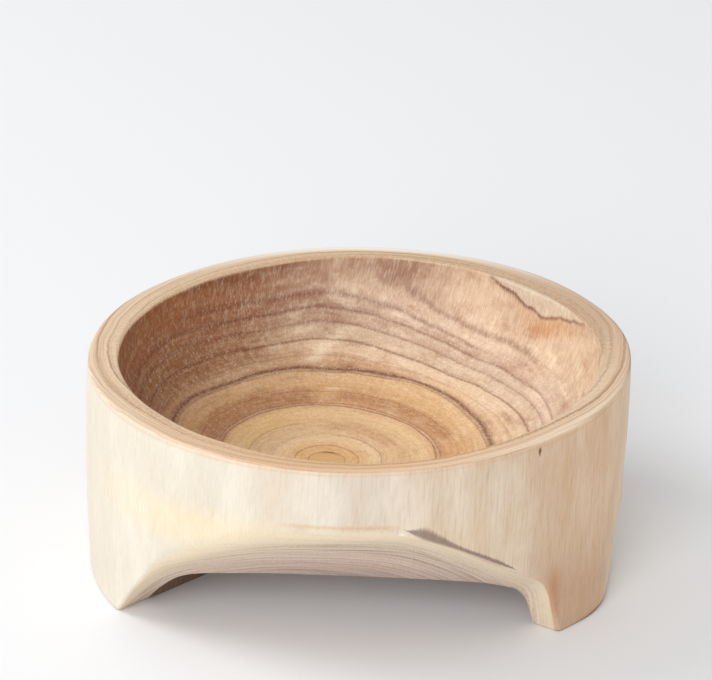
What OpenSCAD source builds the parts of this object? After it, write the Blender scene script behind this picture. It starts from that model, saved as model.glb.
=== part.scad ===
// Footed bowl carved from one section of a log.
// The log's bark side is the outer wall. The top is hollowed out, and the underside is cut away
// at the front and at the back, which leaves two broad legs, one on the left and one on the right.
// The hole of the soft pith is closed with a round plug. Z = 0 is the surface that the bowl stands on.

/* [Log section] */
// overall height (mm)
height = 125; // [122:1:130]
// outer radius at the widest place (mm)
log_r = 152.8; // [150:0.2:156]
// height of the widest place (mm)
widest_z = 80; // [60:1:95]
// radius of the gentle barrel curve of the outer wall (mm)
barrel_r = 900; // [700:50:1500]
// lean of the log's axis from vertical (degrees)
lean = 2.4; // [0:0.2:3]
// width of the eased outer and inner rim edges (mm)
rim_ease = 1.4; // [0.6:0.2:2]

/* [Hollow] */
// radius of the hollow at the rim (mm)
hollow_r = 136.5; // [134:0.5:139]
// depth of the hollow at its middle (mm)
hollow_depth = 70.5; // [66:0.5:72]
// radius of the shallow dish of the floor (mm)
dish_r = 450; // [430:10:520]
// radius between the floor and the wall (mm)
corner_r = 60; // [50:1:62]

/* [Underside] */
// height of the flat underside between the legs (mm)
underside_z = 34; // [30:1:36]
// distance of the sloped cuts' lower edge from the middle (mm)
slope_y = 97; // [94:1:102]
// rise of the sloped cuts towards the outer wall (degrees)
slope_angle = 43; // [38:1:46]
// radius of the corner from a sloped cut into the left leg (mm)
left_blend = 34; // [20:2:40]
// radius of the corner from a sloped cut into the right leg (mm)
right_blend = 15; // [10:1:20]
// inner radius of the shell that the legs keep along their front and back edges (mm)
shell_r = 128; // [126:0.5:132]
// how far the left leg reaches in towards the middle: where its two inner faces would meet (mm)
left_reach = 50; // [46:1:54]
// distance of the right leg's inner face from the middle (mm)
right_gap = 106; // [102:1:112]
// radius where the passage's top meets the legs (mm)
passage_round = 8; // [4:1:12]

/* [Pith plug] */
// distance of the pith from the middle, to the left (mm)
pith_x = 16.5; // [10:0.5:25]
// distance of the pith from the middle, to the back (mm)
pith_y = 5; // [0:0.5:12]
// radius of the plug (mm)
plug_r = 10.5; // [8:0.5:16]

/* [Hidden] */
wood = [0.90, 0.80, 0.65];
plug_wood = [0.87, 0.72, 0.50];
// the log's axis passes through the middle of the rim at this X, which centres the whole part
rim_x = 1.9;
foot_x = rim_x - height * tan(lean);
// the left leg's two upright inner faces, and the radius that rounds the corner between them
left_point = [-left_reach, 0, 0];
left_inner = unit([0.681, 0.732, 0]);
left_leg_round = 28;
// radius of the right leg's rounded inner face
right_leg_r = 171;
// a point on each front leg face, and that face's direction into the passage
left_foot = [-114, -60, 0];
left_face = unit([0.336, -0.605, -0.722]);
right_foot = [97.5, -85, 0];
right_face = unit([-0.742, -0.618, -0.26]);
slope_foot = [0, -slope_y, underside_z];
slope_face = [0, -sin(slope_angle), -cos(slope_angle)];
far = 400;

function unit(v) = v / norm(v);

// the point where three planes meet; each plane is a point on it and its normal
function meet(p, n, q, m, r, k) =
    (cross(m, k) * (p * n) + cross(k, n) * (q * m) + cross(n, m) * (r * k)) / (n * cross(m, k));

// The space in front of two planes that meet, with the corner between them rounded to radius r.
// p and q are points on the planes, n and m their directions into the solid.
module rounded_wedge(p, n, q, m, r) {
    u = unit(cross(n, m));
    e = cross(u, n);
    turn = acos(n * m);
    at = meet(p, n, q, m, [0, 0, 0], u);
    t = -r * tan(turn / 2);
    steps = 8;
    arc = [for (i = [0:steps]) [-r + r * cos(turn * i / steps), t + r * sin(turn * i / steps)]];
    multmatrix([
        [n[0], e[0], u[0], at[0]],
        [n[1], e[1], u[1], at[1]],
        [n[2], e[2], u[2], at[2]],
        [0, 0, 0, 1]
    ])
        linear_extrude(height = 2 * far, center = true)
            polygon(concat(
                [[-far * sin(turn), t - far], [0, t - far]],
                arc,
                [arc[steps] + far * [-sin(turn), cos(turn)]]
            ));
}

// the whole log section before carving, a slightly leaning barrel
module log_section() {
    intersection() {
        translate([rim_x, 0, height])
            rotate([0, lean, 0])
                translate([0, 0, -height])
                    rotate_extrude($fn = 240)
                        intersection() {
                            translate([log_r - barrel_r, widest_z]) circle(r = barrel_r, $fn = 720);
                            translate([0, -20]) square([200, height + 40]);
                        }
        translate([-200, -200, 0]) cube([400, 400, height]);
    }
}

// the hollow: a straight upper wall, a round corner and a dished floor
module hollow() {
    dish_z = height - hollow_depth + dish_r;
    cx = hollow_r - corner_r;
    cz = dish_z - sqrt(pow(dish_r - corner_r, 2) - cx * cx);
    k = (dish_z - cz) / cx;
    translate([rim_x, 0, 0])
        rotate_extrude($fn = 240) {
            translate([0, cz]) square([hollow_r, height + 10 - cz]);
            translate([cx, cz]) circle(r = corner_r, $fn = 180);
            intersection() {
                translate([0, dish_z]) circle(r = dish_r, $fn = 720);
                polygon([[0, cz], [cx, cz], [cx + (cz - 30) / k, 30], [0, 30]]);
            }
            polygon([
                [hollow_r - 1, height - rim_ease - 1], [hollow_r, height - rim_ease],
                [hollow_r + rim_ease, height], [hollow_r + rim_ease, height + 10], [0, height + 10]
            ]);
        }
}

// the ring that eases the outer rim edge
module rim_edge() {
    top_r = log_r - pow(height - widest_z, 2) / (2 * barrel_r);
    translate([rim_x, 0, 0])
        rotate_extrude($fn = 240)
            polygon([
                [top_r - rim_ease, height + 1], [top_r - rim_ease, height],
                [top_r + 1, height - rim_ease - 1], [top_r + 10, height - rim_ease - 1],
                [top_r + 10, height + 1]
            ]);
}

// one sloped cut under the front wall, with its rounded corners into the two legs
module sloped_cut() {
    intersection() {
        rounded_wedge(slope_foot, -slope_face, left_foot, -left_face, left_blend);
        rounded_wedge(slope_foot, -slope_face, right_foot, -right_face, right_blend);
        translate([-200, -250, -50]) cube([400, 220, 250]);
    }
}

// the right leg's rounded inner part, with a concave round where it meets the underside
module right_leg_boss() {
    r = right_leg_r;
    f = passage_round;
    rotate_extrude($fn = 180) {
        translate([0, -20]) square([r, underside_z + 30]);
        difference() {
            translate([r - 1, underside_z - f]) square([f + 1, f + 10]);
            translate([r + f, underside_z - f]) circle(r = f, $fn = 48);
        }
    }
}

// the flat-topped passage between the legs, open to the front and the back
module passage() {
    f = passage_round;
    difference() {
        translate([foot_x, 0, 0])
            rotate_extrude($fn = 180) {
                translate([0, -10]) square([shell_r - f, underside_z + 10]);
                translate([0, -10]) square([shell_r, underside_z - f + 10]);
                translate([shell_r - f, underside_z - f]) circle(r = f, $fn = 48);
            }
        rounded_wedge(left_point, left_inner, left_point, [left_inner[0], -left_inner[1], 0], left_leg_round);
        translate([right_gap + right_leg_r, 0, 0]) right_leg_boss();
    }
}

module bowl_body() {
    color(wood)
        difference() {
            log_section();
            hollow();
            rim_edge();
            passage();
            sloped_cut();
            mirror([0, 1, 0]) sloped_cut();
            translate([-pith_x, pith_y, 0]) cylinder(r = plug_r, h = height, $fn = 96);
        }
}

// the plug fills the floor, flush with the dish above and with the flat underside below
module pith_plug() {
    color(plug_wood)
        difference() {
            translate([-pith_x, pith_y, underside_z]) cylinder(r = plug_r, h = 30, $fn = 96);
            hollow();
        }
}

bowl_body();
pith_plug();
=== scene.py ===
"""Looks for the footed bowl: one log section, hollowed above, cut away below, with a plug in its pith.

The bowl's surface is one implicit solid in millimetres, meshed on a grid whose rings follow the rim.
"""

import math

import bpy
import numpy as np
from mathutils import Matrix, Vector


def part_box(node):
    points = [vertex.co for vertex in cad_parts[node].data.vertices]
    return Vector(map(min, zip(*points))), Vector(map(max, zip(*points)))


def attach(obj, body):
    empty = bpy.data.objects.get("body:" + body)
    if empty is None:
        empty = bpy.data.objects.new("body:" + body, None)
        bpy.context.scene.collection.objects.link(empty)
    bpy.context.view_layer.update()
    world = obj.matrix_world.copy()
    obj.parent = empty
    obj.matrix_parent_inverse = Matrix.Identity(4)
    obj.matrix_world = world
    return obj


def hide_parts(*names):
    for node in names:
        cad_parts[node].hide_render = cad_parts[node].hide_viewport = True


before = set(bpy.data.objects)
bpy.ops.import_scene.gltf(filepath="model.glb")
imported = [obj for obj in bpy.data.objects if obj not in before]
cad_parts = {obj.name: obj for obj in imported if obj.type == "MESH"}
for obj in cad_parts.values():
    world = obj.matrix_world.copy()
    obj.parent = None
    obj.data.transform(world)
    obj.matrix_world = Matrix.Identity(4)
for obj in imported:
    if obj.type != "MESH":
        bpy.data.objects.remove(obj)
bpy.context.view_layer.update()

# ---------------------------------------------------------------- sizes, in millimetres
MM = 0.001
body_high = [float(c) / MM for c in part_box("bowl_body")[1]]
plug_low, plug_high = ([float(c) / MM for c in corner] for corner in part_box("pith_plug"))
HEIGHT = body_high[2]
LOG_R = body_high[1] - 0.05          # outer radius at the widest place
WIDEST_Z = 80.0                      # height of the widest place
BARREL_R = 900.0                     # gentle barrel curve of the outer wall
LEAN = math.tan(math.radians(2.4))   # lean of the log's axis
RIM_X = 1.9                          # the rim's middle, because the log leans
FOOT_X = RIM_X - HEIGHT * LEAN
UNDERSIDE_Z = plug_low[2]
PLUG_X, PLUG_Y = (plug_low[0] + plug_high[0]) / 2, (plug_low[1] + plug_high[1]) / 2
PLUG_R = (plug_high[0] - plug_low[0]) / 2
PLUG_SIDES = 96
HOLLOW_R = 136.5
HOLLOW_DEPTH = HEIGHT - 54.5
LIP_Z = HEIGHT - 0.5                 # the hollow's side is upright above this height
WALL_POWER, FLOOR_POWER = 2.97, 2.14  # how square the hollow's section is
SLOPE_Y = 97.0                       # lower edge of the back's sloped cut
SLOPE_RISE = math.tan(math.radians(43.0))
SHELL_X, SHELL_R = -0.2, 130.6       # the legs' thin edges end at this circle
PASSAGE_ROUND = 8.0                  # radius where the passage's top meets the legs
# the left leg's two inner faces mirror each other: a point, a direction and the radius between them
WEDGE_POINT, WEDGE_FACE, WEDGE_ROUND = (-116.0, -61.5), (0.681, -0.732), 36.0
RIGHT_BOSS = (277.0, 171.0)          # centre x and radius of the right leg's inner face
# the front legs' faces beside the sloped cut: a point and the direction into the cut
LEFT_FOOT, LEFT_FACE = (-114.0, -60.0, 0.0), (0.336, -0.605, -0.722)
RIGHT_FOOT, RIGHT_FACE = (97.0, -87.8, 0.0), (-0.57, -0.82, -0.37)


# ---------------------------------------------------------------- the solid
def smooth_max(a, b, k):
    """The larger of a and b, with the corner between them rounded over about k."""
    h = np.maximum(k - np.abs(a - b), 0) / k
    return np.maximum(a, b) + h * h * k / 4


def smooth_min(a, b, k):
    return -smooth_max(-a, -b, k)


def step(x, low, high):
    """0 below low, 1 above high and smooth between."""
    t = np.clip((x - low) / (high - low), 0, 1)
    return t * t * (3 - 2 * t)


def bump(angle, centre, width):
    """A smooth hump of height 1 around a direction, in degrees."""
    d = (angle - centre + 180) % 360 - 180
    return np.exp(-((d / width) ** 2))


def direction(x, y):
    """Direction from the rim's middle, in degrees."""
    return np.degrees(np.arctan2(y, x - RIM_X))


def rim_inner_r(angle):
    """Radius of the rim's inner edge: the front is thinnest, and a knot stands in at the right back."""
    return (134.0 + 6.6 * bump(angle, -84, 34) - 3.6 * bump(angle, 42, 15)
            - 1.8 * bump(angle, 132, 24) + 1.6 * bump(angle, 92, 16))


def rim_top_z(angle):
    """The rim's top isn't quite flat."""
    return HEIGHT - 0.35 + 0.2 * np.cos(np.radians(3 * angle + 40)) + 0.12 * np.cos(np.radians(7 * angle))


def log_side(x, y, z):
    """Distance outside the leaning barrel of the log, with its slight hand-cut waves."""
    cx = RIM_X - LEAN * (HEIGHT - z)
    a = np.arctan2(y, x - cx)
    barrel = LOG_R - (z - WIDEST_Z) ** 2 / (2 * BARREL_R)
    waves = (0.45 + 0.2 * np.cos(3 * a + 0.6 + 0.012 * z) + 0.14 * np.cos(7 * a - 1.1 - 0.02 * z)
             + 0.08 * np.cos(13 * a + 0.05 * z))
    # the log swells at its right front foot, waves a little on the right, and is slimmer low on the left
    degrees = np.degrees(a)
    swelling = 6.0 * bump(degrees, -28, 11) * step(z, 55, 0)
    swelling = swelling + 1.5 * bump(degrees, -2, 14) * np.sin((z - 34) / 8) * np.exp(-(((z - 34) / 22) ** 2))
    swelling = swelling - 0.8 * bump(degrees, 180, 30) * step(z, 112, 85)
    return np.hypot(x - cx, y) - barrel + waves - swelling


def hollow_void(x, y, z):
    """Depth inside the hollow, a squarish oval in section, with faint tool marks."""
    r = np.hypot(x - RIM_X, y)
    angle = direction(x, y)
    upper = step(z, 72, 120)
    wall = HOLLOW_R + (rim_inner_r(angle) - HOLLOW_R) * upper
    depth = np.maximum(LIP_Z - z, 0)
    level = (r / wall) ** WALL_POWER + (depth / HOLLOW_DEPTH) ** FLOOR_POWER - 1
    slope = np.hypot(WALL_POWER * (r / wall) ** (WALL_POWER - 1) / wall,
                     FLOOR_POWER * (depth / HOLLOW_DEPTH) ** (FLOOR_POWER - 1) / HOLLOW_DEPTH)
    marks = 0.16 * np.cos(np.radians(angle) * 17 + 0.11 * z) * step(r, 30, 90)
    marks = marks + 0.14 * np.cos(0.16 * r + 2 * np.radians(angle))
    return -level / np.maximum(slope, 0.004) + marks


def face_depth(x, y, z, point, facing):
    """Depth past a plane through point, towards facing."""
    n = np.array(facing) / np.linalg.norm(facing)
    return (x - point[0]) * n[0] + (y - point[1]) * n[1] + (z - point[2]) * n[2]


def sloped_cut(x, y, z, lower, rise):
    """Depth inside the sloped cut under the front wall, which starts at lower from the middle."""
    slope = (UNDERSIDE_Z + rise * (-y - lower) - z) / np.hypot(rise, 1)
    left = face_depth(x, y, z, LEFT_FOOT, LEFT_FACE)
    # the left face twists where it meets the bark side
    left = left + 0.11 * (z - 23) * step(np.hypot(x - FOOT_X, y), 131, 149)
    right = face_depth(x, y, z, RIGHT_FOOT, RIGHT_FACE)
    return smooth_min(smooth_min(slope, left, 3.0), right, 6.0)


def passage(x, y, z):
    """Depth inside the flat-topped passage between the legs."""
    shell = SHELL_R - np.hypot(x - SHELL_X, y)
    (px, py), (nx, ny) = WEDGE_POINT, WEDGE_FACE
    left = smooth_max((x - px) * nx + (y - py) * ny, (x - px) * nx - (y + py) * ny, WEDGE_ROUND)
    right = np.hypot(x - RIGHT_BOSS[0], y) - RIGHT_BOSS[1]
    walls = np.minimum(np.minimum(shell, left), right)
    return smooth_min(walls, UNDERSIDE_Z - z, PASSAGE_ROUND)


def under_void(x, y, z):
    """Depth inside all that is cut away below; the front cut's lower edge bends and its slope varies."""
    lower = np.clip(97.5 + 0.085 * x + 0.0003 * x * x, 94, 106)
    front = sloped_cut(x, y, z, lower, SLOPE_RISE + 0.115 * np.exp(-(((x - 35) / 35) ** 2)))
    cuts = np.maximum(front, sloped_cut(x, -y, z, SLOPE_Y, SLOPE_RISE))
    return smooth_max(cuts, passage(x, y, z), 2.0)


def solid(x, y, z):
    """Negative inside the wood, about the distance from its surface."""
    angle = direction(x, y)
    body = smooth_max(log_side(x, y, z), z - rim_top_z(angle), 1.8)
    body = smooth_max(body, hollow_void(x, y, z), 1.6)
    # the cuts' edges are softest from the left leg to the middle of the front, and likewise seen from behind
    side = np.where(y < 0, x, -x)
    soft = 5.7 * step(side, 42, 5) * step(side, -124, -92)
    body = smooth_max(body, under_void(x, y, z), 1.8 + soft)
    return smooth_max(body, 0.05 - z, 1.2)


# ---------------------------------------------------------------- the mesh
def spaced(*stretches):
    """Numbers from the first start on: each stretch is (end, rough spacing)."""
    values = [stretches[0][0]]
    for end, gap in stretches[1:]:
        count = max(1, round((end - values[-1]) / gap))
        values += list(np.linspace(values[-1], end, count + 1)[1:])
    return np.array(values)


def ring_grid():
    """Grid points in rings: squares in the middle of the floor turn into circles at the rim."""
    inner, outer = 134.0, 151.5
    # the spacing is finer at the rim's two edges, and near the ground and the rim's top
    radii = spaced((0.0, 0), (117, 2.45), (131, 2.0), (inner + 1.8, 1.0), (149.5, 2.2),
                   (outer + 1.9, 1.0), (158, 2.6))
    heights = spaced((-2.3, 0), (-0.55, 1.2), (2.3, 0.75), (120.6, 2.05), (126.1, 0.9), (128.1, 2.0))
    n = len(radii) - 1
    i, j = np.meshgrid(np.arange(-n, n + 1), np.arange(-n, n + 1), indexing="ij")
    ring = np.maximum(np.abs(i), np.abs(j))
    safe = np.maximum(ring, 1)
    sideways = np.abs(i) >= np.abs(j)
    sign = np.where(sideways, np.where(i < 0, -1, 1), np.where(j < 0, -1, 1))
    angle = np.where(sideways, math.pi / 4 * j / safe * sign, math.pi / 2 - math.pi / 4 * i / safe * sign)
    r = radii[ring]
    disc_x, disc_y = sign * r * np.cos(angle), sign * r * np.sin(angle)
    square_x, square_y = r * i / safe, r * j / safe
    roundness = step(ring / n, 0.0, 0.55)
    x = disc_x * roundness + square_x * (1 - roundness)
    y = disc_y * roundness + square_y * (1 - roundness)
    # the rings at the rim follow its inner and outer edges
    r, a = np.hypot(x, y), np.degrees(np.arctan2(y, x))
    target = rim_inner_r(a)
    r_new = np.where(r < inner, r * (1 + (target / inner - 1) * step(r / inner, 0.3, 1)),
                     target + (r - inner) * (outer - target) / (outer - inner))
    r_new = np.where(r > outer, r, r_new)
    scale = r_new / np.maximum(r, 1e-6)
    x, y = (x * scale)[:, :, None], (y * scale)[:, :, None]
    z = heights[None, None, :]
    barrel = (LOG_R - (z - WIDEST_Z) ** 2 / (2 * BARREL_R)) / outer
    spread = 1 + (barrel - 1) * step(np.hypot(x, y), inner, outer)
    return x * spread + RIM_X - LEAN * (HEIGHT - z), y * spread, z + 0 * x


def surface_net(field, points):
    """Vertices and quads of the surface where field is zero, one vertex in each grid cell it crosses."""
    cells = tuple(n - 1 for n in field.shape)
    total = np.zeros((np.prod(cells), 3))
    count = np.zeros(np.prod(cells))
    around = []
    for axis in range(3):
        low = [slice(None)] * 3
        high = [slice(None)] * 3
        low[axis], high[axis] = slice(0, -1), slice(1, None)
        a, b = field[tuple(low)], field[tuple(high)]
        at = np.argwhere((a < 0) != (b < 0))
        index = tuple(at.T)
        t = (a[index] / (a[index] - b[index]))[:, None]
        crossing = points[tuple(low)][index] * (1 - t) + points[tuple(high)][index] * t
        u, v = (axis + 1) % 3, (axis + 2) % 3
        corners = []
        for du, dv in ((-1, -1), (0, -1), (0, 0), (-1, 0)):
            cell = at.copy()
            cell[:, u] += du
            cell[:, v] += dv
            flat = np.ravel_multi_index(tuple(cell.T), cells)
            np.add.at(total, flat, crossing)
            np.add.at(count, flat, 1)
            corners.append(flat)
        quads = np.stack(corners, axis=1)
        quads[a[index] >= 0] = quads[a[index] >= 0][:, ::-1]
        around.append(quads)
    used = np.flatnonzero(count)
    number = np.full(len(count), -1)
    number[used] = np.arange(len(used))
    return total[used] / count[used][:, None], number[np.concatenate(around)]


def gradient(field, points, reach):
    """The direction in which field grows, measured over reach on each side."""
    columns = []
    for axis in range(3):
        offset = np.zeros(3)
        offset[axis] = reach
        columns.append((field(*(points + offset).T) - field(*(points - offset).T)) / (2 * reach))
    return np.stack(columns, axis=1)


def onto_surface(field, points, rounds):
    for _ in range(rounds):
        g = gradient(field, points, 0.05)
        points = points - (field(*points.T) / np.maximum((g * g).sum(1), 1e-3))[:, None] * g
    return points


def relaxed(points, quads, field, rounds):
    """Evens out the quads: each point moves part of the way to its neighbours' middle, then back."""
    edges = np.concatenate([quads[:, [0, 1]], quads[:, [1, 2]], quads[:, [2, 3]], quads[:, [3, 0]]])
    ends, others = edges.T
    degree = np.bincount(ends, minlength=len(points)) + np.bincount(others, minlength=len(points))
    for _ in range(rounds):
        middle = np.stack([np.bincount(ends, points[others, k], len(points))
                           + np.bincount(others, points[ends, k], len(points)) for k in range(3)], axis=1)
        move = middle / degree[:, None] - points
        normal = gradient(field, points, 0.4)
        normal /= np.linalg.norm(normal, axis=1)[:, None]
        move -= (move * normal).sum(1)[:, None] * normal
        points = onto_surface(field, points + 0.35 * move, 2)
    return points


def make_mesh(name, points, faces, normals=None):
    """A mesh object from points in millimetres."""
    mesh = bpy.data.meshes.new(name)
    mesh.from_pydata((points * MM).tolist(), [], faces if isinstance(faces, list) else faces.tolist())
    mesh.polygons.foreach_set("use_smooth", [True] * len(mesh.polygons))
    mesh.update()
    if normals is not None:
        mesh.normals_split_custom_set_from_vertices(normals.tolist())
    piece = bpy.data.objects.new(name, mesh)
    bpy.context.scene.collection.objects.link(piece)
    return piece


def make_body():
    grid = ring_grid()
    points, quads = surface_net(solid(*grid), np.stack(grid, axis=-1))
    points = onto_surface(solid, points, 3)
    points = relaxed(points, quads, solid, 3)
    normals = gradient(solid, points, 0.35)
    normals /= np.linalg.norm(normals, axis=1)[:, None]
    return make_mesh("carved_body", points, quads, normals)


def floor_z(x, y):
    """Height of the hollow's floor."""
    low, high = np.full_like(x, UNDERSIDE_Z + 5), np.full_like(x, 80.0)
    for _ in range(30):
        middle = (low + high) / 2
        inside = hollow_void(x, y, middle) > 0
        low, high = np.where(inside, low, middle), np.where(inside, middle, high)
    return (low + high) / 2


def plug_ring(radius, height):
    """Points around the plug's axis; height is a number, or a function of X and Y."""
    turn = np.radians(np.arange(PLUG_SIDES) * 360 / PLUG_SIDES)
    x, y = PLUG_X + radius * np.cos(turn), PLUG_Y + radius * np.sin(turn)
    z = height(x, y) if callable(height) else np.full_like(x, height)
    return np.stack([x, y, z], axis=1)


def bands(rings):
    """The quads between each ring of points and the next."""
    n = PLUG_SIDES
    return [(k * n + i, (k + 1) * n + i, (k + 1) * n + (i + 1) % n, k * n + (i + 1) % n)
            for k in range(rings - 1) for i in range(n)]


def make_plug():
    """A round plug whose top follows the floor, with slightly eased edges."""
    r = PLUG_R - 0.08
    top = [(0.0, 0.02), (3.5, 0.02), (6.5, 0.02), (8.8, 0.03), (r - 0.5, 0.05), (r - 0.2, 0.1), (r, 0.35)]
    bottom = [(r, 0.35), (r - 0.3, 0.05), (0.0, 0.05)]
    rings = [plug_ring(radius, floor_z) - (0, 0, drop) for radius, drop in top]
    rings += [plug_ring(radius, UNDERSIDE_Z + rise) for radius, rise in bottom]
    plug = make_mesh("pith_plug_wood", np.concatenate(rings), bands(len(rings)))
    merge = plug.modifiers.new("merge", "WELD")
    merge.merge_threshold = 1e-6
    keep_modifiers(plug)
    plug.data.set_sharp_from_angle(angle=math.radians(40))
    return plug


def keep_modifiers(piece):
    """Replaces the mesh by the result of its modifiers."""
    graph = bpy.context.evaluated_depsgraph_get()
    mesh = bpy.data.meshes.new_from_object(piece.evaluated_get(graph))
    piece.modifiers.clear()
    piece.data = mesh


def drill(piece):
    """Cuts the plug's hole, then gives each corner the normal of the surface it belongs to."""
    n = PLUG_SIDES
    faces = [tuple(range(n)), tuple(range(2 * n - 1, n - 1, -1))] + bands(2)
    ends = [plug_ring(PLUG_R, UNDERSIDE_Z + 28), plug_ring(PLUG_R, UNDERSIDE_Z - 6)]
    cutter = make_mesh("cutter", np.concatenate(ends), faces)
    cut = piece.modifiers.new("hole", "BOOLEAN")
    cut.operation, cut.object, cut.solver = "DIFFERENCE", cutter, "EXACT"
    keep_modifiers(piece)
    bpy.data.objects.remove(cutter)
    mesh = piece.data
    points = np.empty(len(mesh.vertices) * 3)
    mesh.vertices.foreach_get("co", points)
    points = points.reshape(-1, 3) / MM
    corners = np.empty(len(mesh.loops), dtype=int)
    mesh.loops.foreach_get("vertex_index", corners)
    flat = np.empty(len(mesh.polygons) * 3)
    mesh.polygons.foreach_get("normal", flat)
    sizes = np.empty(len(mesh.polygons), dtype=int)
    mesh.polygons.foreach_get("loop_total", sizes)
    flat = np.repeat(flat.reshape(-1, 3), sizes, axis=0)
    normals = gradient(solid, points, 0.35)[corners]
    normals /= np.linalg.norm(normals, axis=1)[:, None]
    in_hole = np.hypot(*(points[corners, :2] - (PLUG_X, PLUG_Y)).T) < PLUG_R + 0.1
    wall = in_hole & ((flat * normals).sum(1) < 0.5)
    normals[wall] = flat[wall]
    mesh.normals_split_custom_set(normals.tolist())


body = make_body()
drill(body)
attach(body, "root")
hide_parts("bowl_body")

plug = make_plug()
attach(plug, "root")
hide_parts("pith_plug")


# ---------------------------------------------------------------- materials
PITH = (-14.3, 5.41, 63.0)           # a point on the leaning pith
PITH_LEAN = (0.262, 0.054)           # how far the pith moves in X and Y over each unit of height


def linear(rgb):
    """A colour given as 0-255 screen values, in the linear values that shaders take."""
    c = np.array(rgb) / 255
    c = np.where(c <= 0.04045, c / 12.92, ((c + 0.055) / 1.055) ** 2.4)
    return (*c, 1.0)


class Num:
    """A number inside a shader; arithmetic on it adds nodes."""

    def __init__(self, shader, socket):
        self.shader, self.socket = shader, socket

    def __add__(self, other):
        return self.shader.math("ADD", self, other)

    def __sub__(self, other):
        return self.shader.math("SUBTRACT", self, other)

    def __rsub__(self, other):
        return self.shader.math("SUBTRACT", other, self)

    def __mul__(self, other):
        return self.shader.math("MULTIPLY", self, other)

    def __truediv__(self, other):
        return self.shader.math("DIVIDE", self, other)

    def __pow__(self, other):
        return self.shader.math("POWER", self, other)

    def __neg__(self):
        return self * -1

    def __abs__(self):
        return self.shader.math("ABSOLUTE", self)

    __radd__ = __add__

    def root(self):
        return self.shader.math("SQRT", self)

    def positive(self):
        """The number, or 0 where it is negative."""
        return self.shader.math("MAXIMUM", self, 0)

    def at_most(self, limit):
        return self.shader.math("MINIMUM", self, limit)

    def step(self, low, high):
        """0 below low, 1 above high and smooth between; falls instead if low is above high."""
        return self.shader.fraction(self, low, high, "SMOOTHSTEP")

    def hump(self, centre, width):
        """1 at centre, falling smoothly to 0 over about width on both sides."""
        d = (self - centre) * (1 / width)
        return self.shader.math("EXPONENT", -(d * d))

    def between(self, low, high, soft):
        """1 between low and high, with each end spread over soft on both sides."""
        return self.step(low - soft, low + soft) * self.step(high + soft, high - soft)


class Shader:
    """A Principled material whose colours are built from positions in millimetres."""

    def __init__(self, name, roughness):
        self.material = bpy.data.materials.new(name)
        self.material.use_nodes = True
        self.tree = self.material.node_tree
        self.surface = self.tree.nodes["Principled BSDF"]
        self.surface.inputs["Roughness"].default_value = roughness
        self.surface.inputs["Specular IOR Level"].default_value = 0.15
        place = self.tree.nodes.new("ShaderNodeTexCoord").outputs["Object"]
        parts = self.tree.nodes.new("ShaderNodeSeparateXYZ")
        self.tree.links.new(place, parts.inputs[0])
        self.x, self.y, self.z = (Num(self, socket) * 1000 for socket in parts.outputs)

    def give(self, socket, value):
        if isinstance(value, Num):
            self.tree.links.new(value.socket, socket)
        else:
            socket.default_value = value

    def math(self, operation, *values):
        node = self.tree.nodes.new("ShaderNodeMath")
        node.operation = operation
        for socket, value in zip(node.inputs, values):
            self.give(socket, value)
        return Num(self, node.outputs[0])

    def fraction(self, value, low, high, kind="LINEAR"):
        """0 at low and 1 at high."""
        node = self.tree.nodes.new("ShaderNodeMapRange")
        node.interpolation_type = kind
        for socket, number in zip(node.inputs, (value, low, high)):
            self.give(socket, number)
        return Num(self, node.outputs[0])

    def noise(self, x, y, z, detail=2.0, roughness=0.5):
        """Noise of 0 to 1, about 0.5, whose cells are 1 across in the given numbers."""
        join = self.tree.nodes.new("ShaderNodeCombineXYZ")
        for socket, value in zip(join.inputs, (x, y, z)):
            self.give(socket, value)
        node = self.tree.nodes.new("ShaderNodeTexNoise")
        self.tree.links.new(join.outputs[0], node.inputs["Vector"])
        node.inputs["Scale"].default_value = 1.0
        node.inputs["Detail"].default_value = detail
        node.inputs["Roughness"].default_value = roughness
        return Num(self, node.outputs[0])

    def mix(self, low, high, amount):
        """A colour between two; colours are screen values or other mixes."""
        node = self.tree.nodes.new("ShaderNodeMix")
        node.data_type = "RGBA"
        for index, colour in ((6, low), (7, high)):
            if isinstance(colour, Num):
                self.tree.links.new(colour.socket, node.inputs[index])
            else:
                node.inputs[index].default_value = linear(colour)
        self.give(node.inputs[0], amount)
        return Num(self, node.outputs[2])

    def ramp(self, value, low, high, stops):
        """A colour that depends on value; stops are (value, screen colour)."""
        node = self.tree.nodes.new("ShaderNodeValToRGB")
        self.give(node.inputs[0], self.fraction(value, low, high))
        elements = node.color_ramp.elements
        while len(elements) < len(stops):
            elements.new(0.5)
        for element, (at, colour) in zip(elements, stops):
            element.position = (at - low) / (high - low)
            element.color = linear(colour)
        return Num(self, node.outputs[0])

    def degrees(self, y, x):
        return self.math("ARCTAN2", y, x) * (180 / math.pi)

    def away(self, angle, centre):
        """How far angle is from centre, -180 to 180."""
        return self.math("WRAP", angle - centre, 180, -180)

    def near(self, angle, centre, width):
        """1 in one direction, falling smoothly to 0 over about width degrees on both sides."""
        return self.away(angle, centre).hump(0, width)

    def finish(self, colour, bump):
        self.tree.links.new(colour.socket, self.surface.inputs["Base Color"])
        node = self.tree.nodes.new("ShaderNodeBump")
        node.inputs["Strength"].default_value = 0.25
        node.inputs["Distance"].default_value = 0.0004
        self.tree.links.new(bump.socket, node.inputs["Height"])
        self.tree.links.new(node.outputs[0], self.surface.inputs["Normal"])
        return self.material


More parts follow.
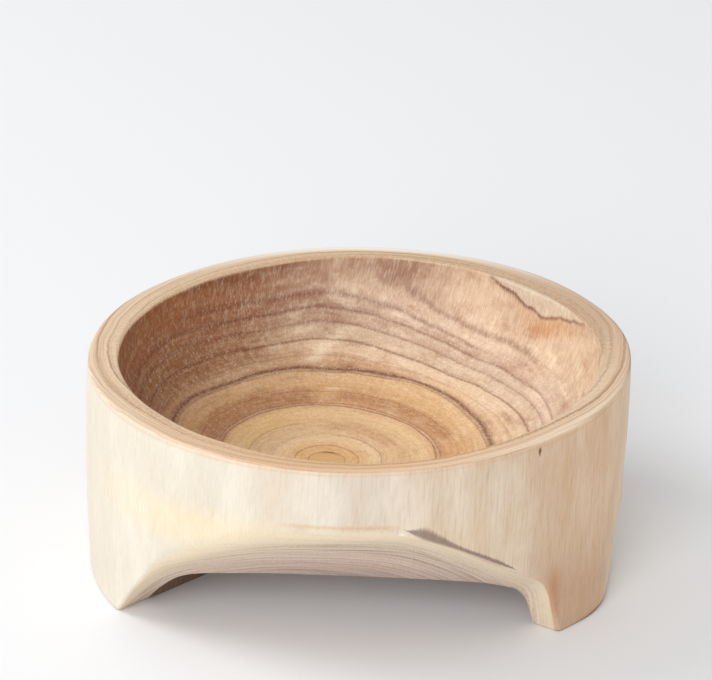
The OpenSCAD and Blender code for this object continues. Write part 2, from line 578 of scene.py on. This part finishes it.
class LogShader(Shader):
    """A shader that also knows the log's own distances, directions and grain."""

    def __init__(self, name, roughness):
        super().__init__(name, roughness)
        x, y, z = self.x, self.y, self.z
        # offsets, distance and direction from the leaning pith
        self.u = x - PITH[0] - (z - PITH[2]) * PITH_LEAN[0]
        self.v = y - PITH[1] - (z - PITH[2]) * PITH_LEAN[1]
        self.rho = (self.u * self.u + self.v * self.v).root()
        self.phi = self.degrees(self.v, self.u)
        self.from_left = abs(self.away(self.phi, 168))
        # direction from the log's axis, distance from the rim's middle, and depth below the bark side
        axis_x, rim_x = x - RIM_X + (HEIGHT - z) * LEAN, x - RIM_X
        self.theta = self.degrees(y, axis_x)
        self.rim_r = (rim_x * rim_x + y * y).root()
        barrel = LOG_R - (z - WIDEST_Z) * (z - WIDEST_Z) / (2 * BARREL_R)
        self.depth = barrel - (axis_x * axis_x + y * y).root()
        # grain along the pith, and along the bark side
        self.fibre = self.noise(self.u * 0.9, self.v * 0.9, z * 0.05, 3, 0.6)
        self.speckle = self.noise(self.u * 0.35, self.v * 0.35, z * 0.12, 4, 0.6)
        leaning_x = x - z * LEAN
        self.upright = self.noise(leaning_x * 0.85, y * 0.85, z * 0.045, 3, 0.65)
        self.streaks = self.noise(leaning_x * 0.045, y * 0.045, z * 0.016, 4, 0.6)


def ring_position(s):
    """Distance from the pith, evened out so that each growth ring, bulges and all, is one number."""
    outer = s.rho.step(92, 106)
    bulge = (s.near(s.phi, 8, 20) * 3.8 - s.near(s.phi, 54, 16) * 2.2 + s.near(s.phi, 93, 12) * 1.4
             - s.near(s.phi, 121, 16) * 1.7 + s.near(s.phi, 160, 14) * 1.3)
    inner_bulge = s.near(s.phi, 54, 18) * 2.5 - s.near(s.phi, 132, 14) * 2.2 + s.near(s.phi, 165, 10)
    return s.rho - bulge * outer - inner_bulge * (1 - outer) * s.rho.step(76, 88)


def hollow_base(s, ring):
    """The hollow's wood from ring to ring, browner on the left and greyer at the back."""
    wander = (s.noise(s.u * 0.035, s.v * 0.035, s.z * 0.01) - 0.5) * 3.0
    colour = s.ramp(ring + wander, 0, 150, (
        (10, (228, 182, 126)), (18, (226, 180, 126)), (27, (236, 202, 158)), (36, (226, 188, 144)),
        (46, (220, 182, 136)), (56, (232, 196, 150)), (64, (212, 166, 122)), (72, (210, 162, 114)),
        (82, (218, 176, 128)), (89, (222, 184, 140)), (97, (220, 184, 148)), (104, (222, 192, 160)),
        (113, (212, 186, 160)), (122, (208, 180, 156)), (132, (214, 186, 156))))
    left = s.near(s.phi, 180, 62) * s.rho.step(40, 90)
    colour = s.mix(colour, (176, 122, 80), left * 0.45)
    left_wall = s.rho.step(88, 104) * s.from_left.step(70, 44) * (0.55 + s.speckle * 0.7)
    colour = s.mix(colour, (146, 98, 60), left_wall.at_most(0.96))
    back_wall = s.rho.step(108, 119) * s.near(s.phi, 100, 34)
    return s.mix(colour, (150, 114, 96), back_wall * 0.5)


def smudges(s, ring, colour):
    """Brown smudges along some of the rings, a few pale patches, and a pale painted sheen high on the back
    wall.
    """
    smudge = ring.between(120, 136, 4) * s.near(s.phi, 160, 34) * 0.55
    for low, high, soft, first, last, ease, depth in (
            (68, 76, 2.5, 18, 86, 3, 0.5), (64, 78, 3.5, 97, 172, 4, 0.5),
            (37, 45, 2.5, 27, 90, 5, 0.28), (94, 101, 3, 58, 108, 6, 0.3)):
        smudge = smudge + ring.between(low, high, soft) * s.phi.between(first, last, ease) * depth
    colour = s.mix(colour, (158, 102, 64), smudge * (s.speckle * 0.9 + 0.55))
    colour = s.mix(colour, (232, 190, 122), ring.between(45, 60, 2) * s.near(s.phi, 140, 38) * 0.5)
    streak = s.near(s.phi - (118 - s.rho) * 0.6, 86, 3.2) * s.rho.between(96, 118, 3)
    colour = s.mix(colour, (246, 226, 196), streak * 0.6)
    # painted sheen: a pale band high up on the back wall
    pale = s.rho.between(120, 128, 2) * s.phi.between(42, 86, 5) * 0.25
    pale = pale + s.rho.between(118, 124, 2) * s.phi.between(5, 21, 3) * 0.6
    return s.mix(colour, (240, 212, 190), pale)


def patches(s, ring, colour):
    """Shade outside the stronger rings, then patches, blotches and fine lines stretched along the rings."""
    # the direction as a vector, so that no seam shows where the angle turns from 180 to -180
    du, dv = s.u / s.rho, s.v / s.rho
    patch = s.noise(du * 4.3, dv * 4.3, ring * 0.15, 3, 0.6)
    shade = 0
    for radius, reach, depth in ((126.6, 5, 0.24), (119.4, 4.5, 0.4), (114.7, 4, 0.3), (107.5, 5, 0.32),
                                 (92.2, 5, 0.55), (64.2, 6, 0.3), (31.2, 4, 0.2)):
        outside = ring - radius
        shade = outside.step(-0.4, 0.4) * outside.step(reach, 0.5) * depth + shade
    shade = shade * (1 - s.rho.step(121, 125) * s.phi.step(78, 58) * 0.8)
    shade = shade * (patch * 2.4 - 0.5) + (patch - 0.56).positive() * s.rho.step(60, 100) * 2.2
    colour = s.mix(colour, (140, 90, 66), shade.positive().at_most(0.75))
    pale = (0.43 - patch).positive() * 3.2 * s.rho.step(40, 100) * s.from_left.step(20, 78)
    colour = s.mix(colour, (244, 222, 198), pale.at_most(0.7))
    blotch = s.noise(du * 6.3, dv * 6.3, s.z * 0.1 + s.rho * 0.03, 4, 0.65)
    wall = s.rho.step(92, 106)
    colour = s.mix(colour, (158, 104, 72), (blotch - 0.53).positive() * wall * 2.6)
    pale = (0.44 - blotch).positive() * wall * s.from_left.step(30, 68)
    colour = s.mix(colour, (242, 220, 192), pale * 3.0)
    lines = s.noise(du * 2.9, dv * 2.9, ring * 0.75, 2, 0.6) - 0.5
    colour = s.mix(colour, (140, 90, 62), lines.positive() * 0.9)
    return s.mix(colour, (246, 222, 190), (-lines).positive() * 0.6)


def ring_lines(s, ring, colour):
    """The narrow dark rings: radius, half width and depth, with a first and a last direction if short."""
    dark = 0
    for radius, width, depth, *stretch in (
            (126.6, 0.7, 0.4, 28, 142), (122.8, 0.6, 0.4, 46, 145), (119.4, 0.55, 0.42), (114.7, 0.5, 0.34),
            (107.5, 0.6, 0.5), (92.2, 1.4, 0.68), (90.0, 0.6, 0.35), (62.2, 0.6, 0.5), (64.2, 0.5, 0.38),
            (45.5, 0.45, 0.3, 112, 178), (31.2, 0.45, 0.35, -20, 82), (18.2, 0.5, 0.35), (74.8, 0.4, 0.22),
            (99.5, 0.4, 0.2), (136.5, 0.5, 0.3)):
        ripple = (s.noise(s.u * 0.07 + radius, s.v * 0.07, s.z * 0.03) - 0.5) * 1.6
        line = (ring + ripple).hump(radius, width) * depth
        if stretch:
            line = line * s.phi.between(*stretch, 5)
        dark = line + dark
    dark = dark * (s.fibre * 1.1 + 0.6)
    return s.mix(colour, (112, 64, 44), dark.at_most(0.92))


def knot(s, colour):
    """The knot at the right back: a pale patch under the rim with a wavy dark lower border."""
    wavy = (s.noise(s.phi * 0.22, 3.0, 0.0, 3) - 0.5) * 7
    edge = s.z - 112.3 - abs(s.phi - 32) * 0.62 + wavy
    wall = s.rho.step(100, 112)
    patch = edge.step(-0.7, 0.7) * s.phi.between(8, 50, 3) * wall
    colour = s.mix(colour, (212, 194, 170), patch * (s.speckle * 0.8 + 0.4))
    border = edge.hump(-1.0, 1.3) * s.phi.between(15, 52, 4) * wall
    colour = s.mix(colour, (112, 70, 48), border * 0.75)
    below = edge.between(-13, -2.5, 3) * s.near(s.phi, 28, 9) * s.rho.step(98, 112)
    return s.mix(colour, (196, 132, 76), below * 0.55)


def hollow_colour(s):
    """Growth rings, smudges and grain of the hollowed side."""
    ring = ring_position(s)
    colour = smudges(s, ring, hollow_base(s, ring))
    colour = ring_lines(s, ring, patches(s, ring, colour))
    return knot(s, colour)


def rim_colour(s):
    """The flat rim is cut across the rings, so they show as darker arcs; a near-white painted highlight lies
    on its back.
    """
    line = s.rho - s.near(s.phi, -95, 30) * 5 + s.near(s.phi, -46, 16) * 2 + s.near(s.phi, -144, 20) * 2
    line = line - s.near(s.phi, 16, 18) * 3.5 + (s.noise(s.x * 0.05, s.y * 0.05, 0.0) - 0.5) * 2.4
    colour = s.ramp(line, 125, 165, (
        (126, (204, 172, 138)), (134, (214, 186, 154)), (141, (224, 198, 168)),
        (147, (222, 194, 164)), (154, (232, 210, 184)), (163, (240, 222, 200))))
    fine = s.noise(s.x / s.rho * 1.2, s.y / s.rho * 1.2, line * 0.9, 2, 0.7) - 0.46
    arcs = fine.positive() * 2.2
    for radius, width, depth in ((140, 0.7, 0.45), (147, 0.9, 0.5), (151.5, 0.7, 0.3), (134, 0.8, 0.3)):
        arcs = arcs + line.hump(radius, width) * depth
    colour = s.mix(colour, (146, 102, 72), arcs * (s.fibre + 0.35))
    colour = s.mix(colour, (204, 150, 96), s.near(s.phi, -95, 42) * 0.42)
    colour = s.mix(colour, (176, 140, 112), s.near(s.phi, 22, 36) * 0.4)
    colour = s.mix(colour, (170, 124, 84), s.rim_r.step(149.5, 152) * s.near(s.phi, -75, 42) * 0.6)
    # painted highlight: a near-white patch on the outer half of the rim's top at the back
    return s.mix(colour, (248, 244, 238), s.rim_r.step(143, 148) * s.near(s.phi, 88, 42) * 0.75)


def bark_stain(s, colour):
    """A thin dark wedge that follows the edge of the front cut down to the right, and a chip at its start."""
    along = s.theta + 79.5
    centre = 89 - along * 1.26 - along * along * 0.0085
    ragged = (s.upright - 0.5) * 3.4 + (s.streaks - 0.5) * 2
    thick = along.step(-1.5, 4) * (1.3 + along.step(12, 2) * 2.9) * along.step(26, 19)
    distance = abs(s.z - centre - ragged * 0.5 - thick * 0.35) / (thick + 0.15)
    colour = s.mix(colour, (122, 98, 92), distance.step(1.35, 0.3) * along.between(-1, 24, 1.5) * 0.8)
    return s.mix(colour, (252, 244, 232), s.near(s.theta, -81, 0.6) * s.z.hump(86.5, 1.2) * 0.9)


def wall_colour(s):
    """The bark side: cream on the left and tan on the right, with upright fibres."""
    # the stops start at the front and go round by the right (-90), the back (0) and the left (90)
    colour = s.ramp(s.away(s.theta, 90), -180, 180, (
        (-180, (209, 198, 183)), (-165, (206, 186, 164)), (-150, (208, 186, 162)), (-137, (213, 186, 158)),
        (-120, (228, 195, 162)), (-105, (240, 214, 185)), (-60, (232, 211, 186)), (0, (230, 212, 190)),
        (70, (222, 211, 195)), (100, (217, 208, 193)), (130, (215, 207, 191)), (150, (214, 206, 190)),
        (165, (216, 205, 188)), (180, (209, 198, 183))))
    band = (s.streaks - 0.5) * 1.5
    colour = s.mix(colour, (204, 160, 116), band.positive() * (s.near(s.theta, -45, 60) * 0.9 + 0.12))
    colour = s.mix(colour, (248, 240, 224), (-band).positive() * 0.9)
    fine = (s.upright - 0.48).positive() * (s.near(s.theta, -40, 55) * 0.9 + 0.3)
    colour = s.mix(colour, (150, 108, 76), fine)
    # a browner right leg, a rusty line up its front edge, and a yellow glow with a line over the front cut
    colour = s.mix(colour, (168, 134, 112), s.near(s.theta, -38, 16) * s.z.step(62, 20) * 0.4)
    colour = s.mix(colour, (184, 120, 68), s.near(s.theta, -44, 2.4) * s.z.between(8, 42, 12) * 0.5)
    colour = s.mix(colour, (238, 214, 160), s.near(s.theta, -112, 36) * s.z.between(66, 90, 8) * 0.35)
    line = (s.z + (s.upright - 0.5) * 3).hump(92, 1.2) * s.theta.between(-104, -82, 3)
    colour = bark_stain(s, s.mix(colour, (206, 150, 90), line * 0.35))
    # a pit with a crack above it, a line under the rim, a dark mark at the right front foot's base, and
    # painted contact shade along the bottom edge all round
    crack = s.near(s.theta, -51, 0.22) * s.z.between(117, 122, 1) * 0.7
    pit = s.near(s.theta, -51, 0.35) * s.z.hump(120, 1.2)
    colour = s.mix(colour, (96, 60, 42), (crack + pit).at_most(0.9))
    colour = s.mix(colour, (212, 160, 106), s.z.hump(122.2, 0.8) * 0.3)
    # painted contact shade: the lowest 1.4 mm all round is darkened where the wood meets the floor; the right
    # front foot also has a dark mark at its base
    foot_mark_and_contact_shade = s.z.step(3.2, 0.6) * s.near(s.theta, -27, 6) + s.z.step(1.4, 0.2) * 0.5
    return s.mix(colour, (110, 72, 50), foot_mark_and_contact_shade.at_most(0.85))


def cut_colour(s):
    """The sloped cuts and the underside: pinkish tan, crossed by the rings, with painted shade on the left
    leg's inner face.
    """
    colour = s.ramp(s.depth, 0, 60, (
        (0, (226, 209, 182)), (7, (222, 204, 178)), (14, (212, 191, 171)),
        (26, (206, 184, 166)), (40, (194, 171, 156)), (55, (172, 150, 140))))
    colour = s.mix(colour, (150, 128, 120), s.x.step(25, 60) * s.depth.step(14, 26) * 0.35)
    bands = s.noise(s.rho * 0.62, s.x * 0.012, s.z * 0.02, 3, 0.7) - 0.5
    bands = bands + (s.upright - 0.5) * 0.45
    strength = s.depth.step(3, 14) * 0.8 + 0.2
    colour = s.mix(colour, (112, 78, 66), bands.positive() * strength * 2.0)
    colour = s.mix(colour, (244, 230, 214), (-bands).positive() * strength * 1.8)
    # a dark ring across the front cut, and a brown edge along the right leg's inner side
    colour = s.mix(colour, (112, 74, 54), s.depth.hump(18.5, 0.5) * s.x.between(-20, 60, 8) * 0.4)
    edge = s.x.step(84, 90) * (s.depth + (s.upright - 0.5) * 4).hump(20.5, 2.6) * s.z.step(40, 30)
    colour = s.mix(colour, (140, 100, 76), edge * 0.6)
    # painted shade: the left leg's inner face, which stands in shadow under the bowl, is painted a dark brown
    inner = (s.x - WEDGE_POINT[0]) * WEDGE_FACE[0] + (s.y - WEDGE_POINT[1]) * WEDGE_FACE[1]
    return s.mix(colour, (108, 80, 62), inner.step(3.5, 1.5) * s.x.step(-118, -112) * s.z.step(36, 31) * 0.85)


def wood_material(name):
    s = LogShader(name, 0.62)
    # the hollow's side is what lies above a bowl-shaped surface inside the wood
    halfway = (s.rim_r / 136) ** 6 * 46 + 44
    hollow = (s.z - halfway).step(-1.5, 1.5) * s.rim_r.step(142.5, 141)
    rim = s.z.step(HEIGHT - 1.8, HEIGHT - 0.9) * s.rim_r.step(132, 134)
    # a foot's swelling bulges out of the log's barrel, so negative depths are wall as well
    cut = s.depth.step(1.0, 2.6) * (1 - hollow)
    colour = s.mix(wall_colour(s), cut_colour(s), cut)
    colour = s.mix(colour, hollow_colour(s), hollow)
    colour = s.mix(colour, rim_colour(s), rim)
    pores = s.noise(s.u * 1.5, s.v * 1.5, s.z * 0.16, 2, 0.7)
    grain = (s.fibre - 0.5) * 0.55 + (s.speckle - 0.5) * 0.55 + (pores - 0.5) * 0.9
    grain = grain * (hollow * 0.75 + 0.25)
    colour = s.mix(colour, (118, 78, 54), grain.positive())
    colour = s.mix(colour, (255, 246, 230), (-grain).positive())
    return s.finish(colour, s.fibre)


def plug_material(name):
    """The plug's wood runs across, with a painted crescent of shade in the seam where its back edge meets the
    floor.
    """
    s = Shader(name, 0.6)
    along = s.noise(s.x * 0.05, s.y * 0.8, s.z * 0.8, 3, 0.6)
    colour = s.mix((206, 156, 104), (234, 194, 142), along)
    x, y = s.x - PLUG_X, s.y - PLUG_Y
    r = (x * x + y * y).root()
    # painted shade: the dark crescent stands for the shade in the seam at the plug's back edge
    crescent = r.step(PLUG_R - 3.2, PLUG_R - 0.6) * s.near(s.degrees(y, x), 80, 32)
    colour = s.mix(colour, (112, 66, 42), crescent * 0.75)
    return s.finish(colour, along)


for piece, material in ((body, wood_material("carved_wood")), (plug, plug_material("plug_wood"))):
    piece.data.materials.clear()
    piece.data.materials.append(material)


# ---------------------------------------------------------------- stage, lights and camera
def make_floor():
    """A pale matte floor."""
    material = bpy.data.materials.new("floor_paper")
    material.use_nodes = True
    shader = material.node_tree.nodes["Principled BSDF"]
    shader.inputs["Base Color"].default_value = linear((235, 236, 238))
    shader.inputs["Roughness"].default_value = 0.8
    bpy.ops.mesh.primitive_plane_add(size=12)
    floor = bpy.context.object
    floor.name = "floor"
    floor.data.materials.append(material)


def area_light(name, place, aim, size, power):
    data = bpy.data.lights.new(name, "AREA")
    data.shape = "DISK"
    data.size = size
    data.energy = power
    lamp = bpy.data.objects.new(name, data)
    lamp.location = place
    lamp.rotation_euler = (Vector(aim) - Vector(place)).to_track_quat("-Z", "Y").to_euler()
    bpy.context.scene.collection.objects.link(lamp)


def make_world(strength):
    world = bpy.data.worlds.new("studio")
    world.use_nodes = True
    background = world.node_tree.nodes["Background"]
    background.inputs["Color"].default_value = (1, 1, 1, 1)
    background.inputs["Strength"].default_value = strength
    bpy.context.scene.world = world
    bpy.context.scene.view_settings.view_transform = "Standard"


def make_camera():
    """A long lens in front of the bowl, above it, aimed at its middle."""
    data = bpy.data.cameras.new("camera")
    data.sensor_width = 36
    data.lens = 163.2
    camera = bpy.data.objects.new("camera", data)
    distance, elevation = 1.8, math.radians(24.39)
    place = Vector((0.0019, -distance * math.cos(elevation), HEIGHT * MM + distance * math.sin(elevation)))
    aim = Vector((0.0001, 0, 0.131))
    camera.location = place
    camera.rotation_euler = (aim - place).to_track_quat("-Z", "Y").to_euler()
    bpy.context.scene.collection.objects.link(camera)
    bpy.context.scene.camera = camera


make_floor()
area_light("key", (-3.2, 0.7, 2.6), (0, 0, 0.08), 2.3, 71)
area_light("fill", (-1.5, -4.1, 2.3), (0, 0, 0.05), 3.2, 134)
make_world(0.63)
make_camera()
